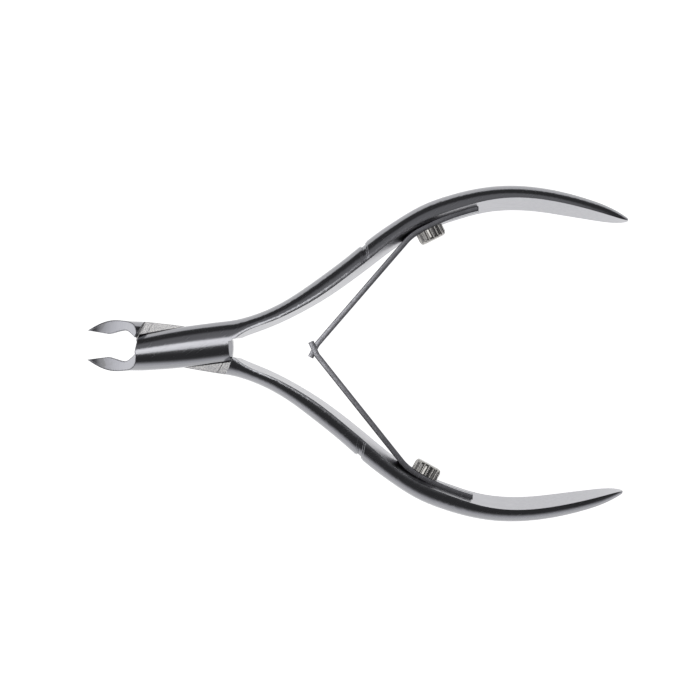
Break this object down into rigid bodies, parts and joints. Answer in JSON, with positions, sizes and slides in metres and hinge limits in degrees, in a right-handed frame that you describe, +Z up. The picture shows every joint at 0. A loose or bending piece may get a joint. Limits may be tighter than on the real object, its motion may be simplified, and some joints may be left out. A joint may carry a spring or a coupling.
{
  "type": "cuticle nipper",
  "caption": "Polished steel cuticle nipper with a lap joint, hollow-ground half-moon jaws, bowed handles and interlocking leaf springs that hold it open.",
  "frame": {"origin": "on the surface that the open nipper rests on, under the middle of its length and width", "axes": "+X along the nipper from the jaws to the handle tails, +Y across the handles towards the front half's handle, +Z up, out of the front with the ground bevels"},
  "size_m": [0.1148, 0.0714, 0.0067],
  "materials": {
    "forged_steel": "polished, with satin ground bevels",
    "spring_steel": "satin",
    "screw_steel": "polished"
  },
  "bodies": {
    "front": {"front_half": "forged_steel", "pivot_screw": "screw_steel", "upper_spring_foot": "spring_steel", "upper_spring_screw": "screw_steel"},
    "rear": {"rear_half": "forged_steel", "lower_spring_foot": "spring_steel", "lower_spring_screw": "screw_steel"},
    "upper_leaf": {"upper_spring_leaf": "spring_steel"},
    "lower_leaf": {"lower_spring_leaf": "spring_steel"}
  },
  "joints": [
    {"name": "pivot", "type": "hinge", "parent": "front", "child": "rear", "pos_m": [-0.03628, 0, 0.0033], "axis": [0, 0, 1], "range_deg": [0, 16.6], "stiffness_Nm_per_rad": 0.8},
    {"name": "upper_flex", "type": "hinge", "parent": "front", "child": "upper_leaf", "pos_m": [0.01021, 0.0233, 0.0033], "axis": [0, 0, -1], "range_deg": [0, 9.7]},
    {"name": "lower_flex", "type": "hinge", "parent": "rear", "child": "lower_leaf", "pos_m": [0.01021, -0.0233, 0.0033], "axis": [0, 0, 1], "range_deg": [0, 9.7]}
  ],
  "couplings": [
    {"joint": "upper_flex", "follows": "pivot", "ratio": 0.584},
    {"joint": "lower_flex", "follows": "pivot", "ratio": 0.584}
  ]
}
